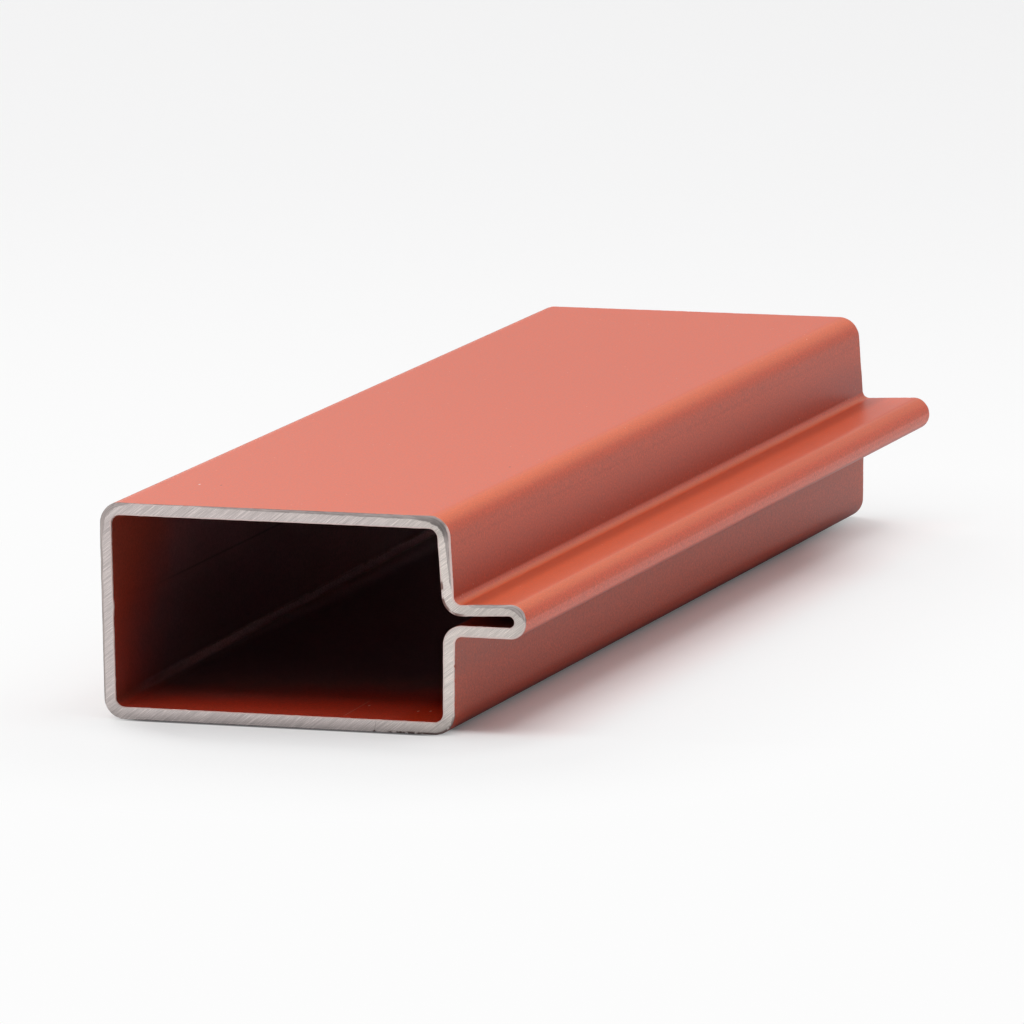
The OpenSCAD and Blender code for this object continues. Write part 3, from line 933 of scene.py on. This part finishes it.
def floor_finish(studio):
    """A plain matt floor, tinted warmer beside the fin's side of the tube as painted red light thrown from
    it, and dark in the thin gap under the near cut, a painted contact shadow. To the camera and in
    reflections it glows white away from the tube, which lifts the lamps' shadows there, by how far a place
    lies outside a box on the floor, which narrows at both ends, and less so far behind. Under the tube and
    close to it the floor is as lit."""
    g = Graph("pale_floor")
    at = g.object_mm()
    x, y, _ = g.axes(at)
    low, high = (-6.0, -96.0, 0.0), (30.0, 80.0, 0.0)
    narrowed = g.total(g.ramp(y, 45.0, 85.0, 0.0, 11.0), g.ramp(y, -99.0, -92.0, 6.0, 0.0))
    tapered = g.vector("ADD", at, g.add("ShaderNodeCombineXYZ", i0=narrowed))
    past = g.vector("MAXIMUM", g.vector("SUBTRACT", low, at), g.vector("SUBTRACT", tapered, high))
    apart = g.length(g.vector("MAXIMUM", past, (0.0, 0.0, 0.0)))
    before_cut = g.product(g.ramp(y, -99.0, -93.0, 1.0, 0.0), g.ramp(x, 18.0, 34.0, 0.38, 0.48))
    near = g.most(g.ramp(apart, 3.0, 29.0, 0.09, studio.floor_fade), before_cut)
    wide = g.ramp(apart, 25.0, 72.0, 0.0, 1.0 - studio.floor_fade)
    behind = g.ramp(y, 40.0, 500.0, 1.0, 0.62)
    white = g.product(g.total(near, wide), behind)
    path = g.add("ShaderNodeLightPath").node.outputs
    seen = g.most(path["Is Camera Ray"], path["Is Glossy Ray"])

    # A painted warm tint beside the tube: red light from its side, painted on the floor.
    painted_bounce_light = g.product(g.band(x, 36.0, 8.0, 8.0), g.band(y, 0.0, 95.0, 8.0))
    matt_colour = g.mix(painted_bounce_light, colour(studio.floor_colour), (1.0, 0.915, 0.915, 1.0))
    # The gap mask is a painted contact shadow under and just in front of the near cut.
    gap = g.product(
        g.ramp(y, -101.3, -100.7, 0.0, 0.85), g.ramp(y, -98.0, -96.0, 1.0, 0.0), g.band(x, 0.0, 23.0, 6.0))
    contact_shadow_colour = (0.05, 0.045, 0.05, 1.0)
    matt = g.add(
        "ShaderNodeBsdfPrincipled", Base_Color=g.mix(gap, matt_colour, contact_shadow_colour), Roughness=0.8,
        Specular_IOR_Level=0.2)
    glow = g.add(
        "ShaderNodeEmission", Color=g.mix(gap, colour(studio.floor_white), contact_shadow_colour), Strength=1.0)
    return g.show(g.add("ShaderNodeMixShader", i0=g.product(white, seen), i1=matt, i2=glow))


# Operators

class MESH_OT_finned_tube_add(bpy.types.Operator):
    """Builds the tube's whole surface, painted walls and sawn ends, in place of the plain solid"""
    bl_idname = "mesh.finned_tube_add"
    bl_label = "Painted tube"

    def execute(self, context):
        scene = context.scene
        points, facts, on_cut = tube_surface(scene.tube_sizes, scene.cut_work)
        rows, columns = points.shape[:2]
        points = points.reshape(-1, 3)
        faces = outward(points, grid_faces(rows, columns))
        cut_cells = on_cut | np.roll(on_cut, -1)
        tube = mesh_object(
            "tube_skin", points, faces, facts, np.repeat(cut_cells, columns),
            [red_primer(scene.finish), sawn_steel(scene.finish)])
        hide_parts(NODE)
        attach(tube, "root")
        return {"FINISHED"}


LAMPS = {
    # name: place, width, height, and the lamp's share of the light. Each faces the tube.
    "overhead": ((0.0, -0.12, 1.2), 1.1, 1.2, 0.666),
    "right_panel": ((0.94, 0.0, 1.77), 1.0, 1.0, 0.252),
    "back_left_panel": ((-1.16, 1.16, 1.15), 1.0, 1.0, 0.308),
    "back_right_panel": ((1.16, 1.16, 1.15), 1.0, 1.0, 0.052),
}


def floor_plane(studio):
    """The wide floor: one flat sheet at the tube's underside."""
    reach = 4.0
    level = LOW[2]
    corners = np.array([
        (-reach, -reach, level), (reach, -reach, level), (reach, reach, level), (-reach, reach, level)])
    floor = mesh_object("floor", corners, np.array([[0, 1, 2, 3]]), {}, np.zeros(1), [floor_finish(studio)])


def aim(place, target):
    """The turn that points a lamp's own -Z from place to target, with its Y up."""
    return (Vector(target) - Vector(place)).to_track_quat("-Z", "Y")


def lamps():
    """Soft square lamps, unseen by the camera, that face the middle of the tube.

    A lamp of power P at distance d lights a surface that faces it with P / (pi d squared), and a matt
    surface of colour c then shows c / pi of that. So a lamp that is to show its share of c has a power of pi
    squared times d squared times that share. The shares add up to about 1.3, since the lamps' light meets
    each side at a slant.
    """
    middle = (0.0, 0.0, 0.02)
    for name, (place, width, height, share) in LAMPS.items():
        light = bpy.data.lights.new(name, "AREA")
        light.shape, light.size, light.size_y = "RECTANGLE", width, height
        light.energy = (pi * Vector(place).length) ** 2 * share
        lamp = bpy.data.objects.new(name, light)
        lamp.location = place
        lamp.rotation_mode = "QUATERNION"
        lamp.rotation_quaternion = aim(place, middle)
        lamp.visible_camera = False
        bpy.context.scene.collection.objects.link(lamp)


def sky(studio):
    """A backdrop all round, pale to the camera and in reflections, that adds little light of its own."""
    world = bpy.data.worlds.new("pale_backdrop")
    world.use_nodes = True
    tree = world.node_tree
    tree.nodes.clear()
    even = tree.nodes.new("ShaderNodeBackground")
    even.inputs["Color"].default_value = (1.0, 1.0, 1.0, 1.0)
    even.inputs["Strength"].default_value = studio.sky_level
    seen = tree.nodes.new("ShaderNodeBackground")
    seen.inputs["Color"].default_value = colour(studio.backdrop_colour)
    path = tree.nodes.new("ShaderNodeLightPath")
    shown = tree.nodes.new("ShaderNodeMath")
    shown.operation = "MAXIMUM"
    either = tree.nodes.new("ShaderNodeMixShader")
    out = tree.nodes.new("ShaderNodeOutputWorld")
    tree.links.new(path.outputs["Is Camera Ray"], shown.inputs[0])
    tree.links.new(path.outputs["Is Glossy Ray"], shown.inputs[1])
    tree.links.new(shown.outputs["Value"], either.inputs["Fac"])
    tree.links.new(even.outputs["Background"], either.inputs[1])
    tree.links.new(seen.outputs["Background"], either.inputs[2])
    tree.links.new(either.outputs["Shader"], out.inputs["Surface"])
    bpy.context.scene.world = world


def camera(studio):
    """A long lens that looks a little down at the near cut's right side, and is rolled slightly."""
    data = bpy.data.cameras.new("camera")
    data.lens, data.sensor_width = studio.focal, 36.0
    data.clip_start, data.clip_end = 0.05, 50.0
    a, e = studio.azimuth, studio.elevation
    back = Vector((sin(a) * cos(e), -cos(a) * cos(e), sin(e)))
    level = Vector((cos(a), sin(a), 0.0))
    upright = back.cross(level)
    right = cos(studio.roll) * level + sin(studio.roll) * upright
    up = back.cross(right)
    inside_tip, above_top = 1.93 * MM, 1.26 * MM
    target = Vector((HIGH[0] - inside_tip, LOW[1], HIGH[2] + above_top))
    cam = bpy.data.objects.new("camera", data)
    cam.matrix_world = (
        Matrix.Translation(target + studio.distance * back) @ Matrix((right, up, back)).transposed().to_4x4())
    bpy.context.scene.collection.objects.link(cam)
    bpy.context.scene.camera = cam


class SCENE_OT_pale_studio_add(bpy.types.Operator):
    """Adds the pale floor, the soft lamps, the even sky and the camera"""
    bl_idname = "scene.pale_studio_add"
    bl_label = "Pale studio"

    def execute(self, context):
        studio = context.scene.studio
        context.scene.view_settings.view_transform = "Standard"
        camera(studio)
        floor_plane(studio)
        lamps()
        sky(studio)
        return {"FINISHED"}


class VIEW3D_PT_steel_tube(bpy.types.Panel):
    """Lists the settings and the operators in the sidebar"""
    bl_label = "Steel Tube"
    bl_space_type = "VIEW_3D"
    bl_region_type = "UI"
    bl_category = "Steel Tube"

    def draw(self, context):
        for group_name in GROUPS:
            box = self.layout.box()
            group = getattr(context.scene, group_name)
            for name in group.__annotations__:
                box.prop(group, name)
        for operator in OPERATORS:
            self.layout.operator(operator.bl_idname)


GROUPS = {"tube_sizes": TubeSizes, "cut_work": CutWork, "finish": Finish, "studio": Studio}
OPERATORS = (SCENE_OT_pale_studio_add, MESH_OT_finned_tube_add)
CLASSES = (*GROUPS.values(), *OPERATORS, VIEW3D_PT_steel_tube)


def register():
    for each in CLASSES:
        bpy.utils.register_class(each)
    for name, group in GROUPS.items():
        setattr(bpy.types.Scene, name, bpy.props.PointerProperty(type=group))


def unregister():
    for name in GROUPS:
        delattr(bpy.types.Scene, name)
    for each in reversed(CLASSES):
        bpy.utils.unregister_class(each)


def main():
    register()
    bpy.ops.scene.pale_studio_add()
    bpy.ops.mesh.finned_tube_add()


if __name__ == "__main__":
    main()
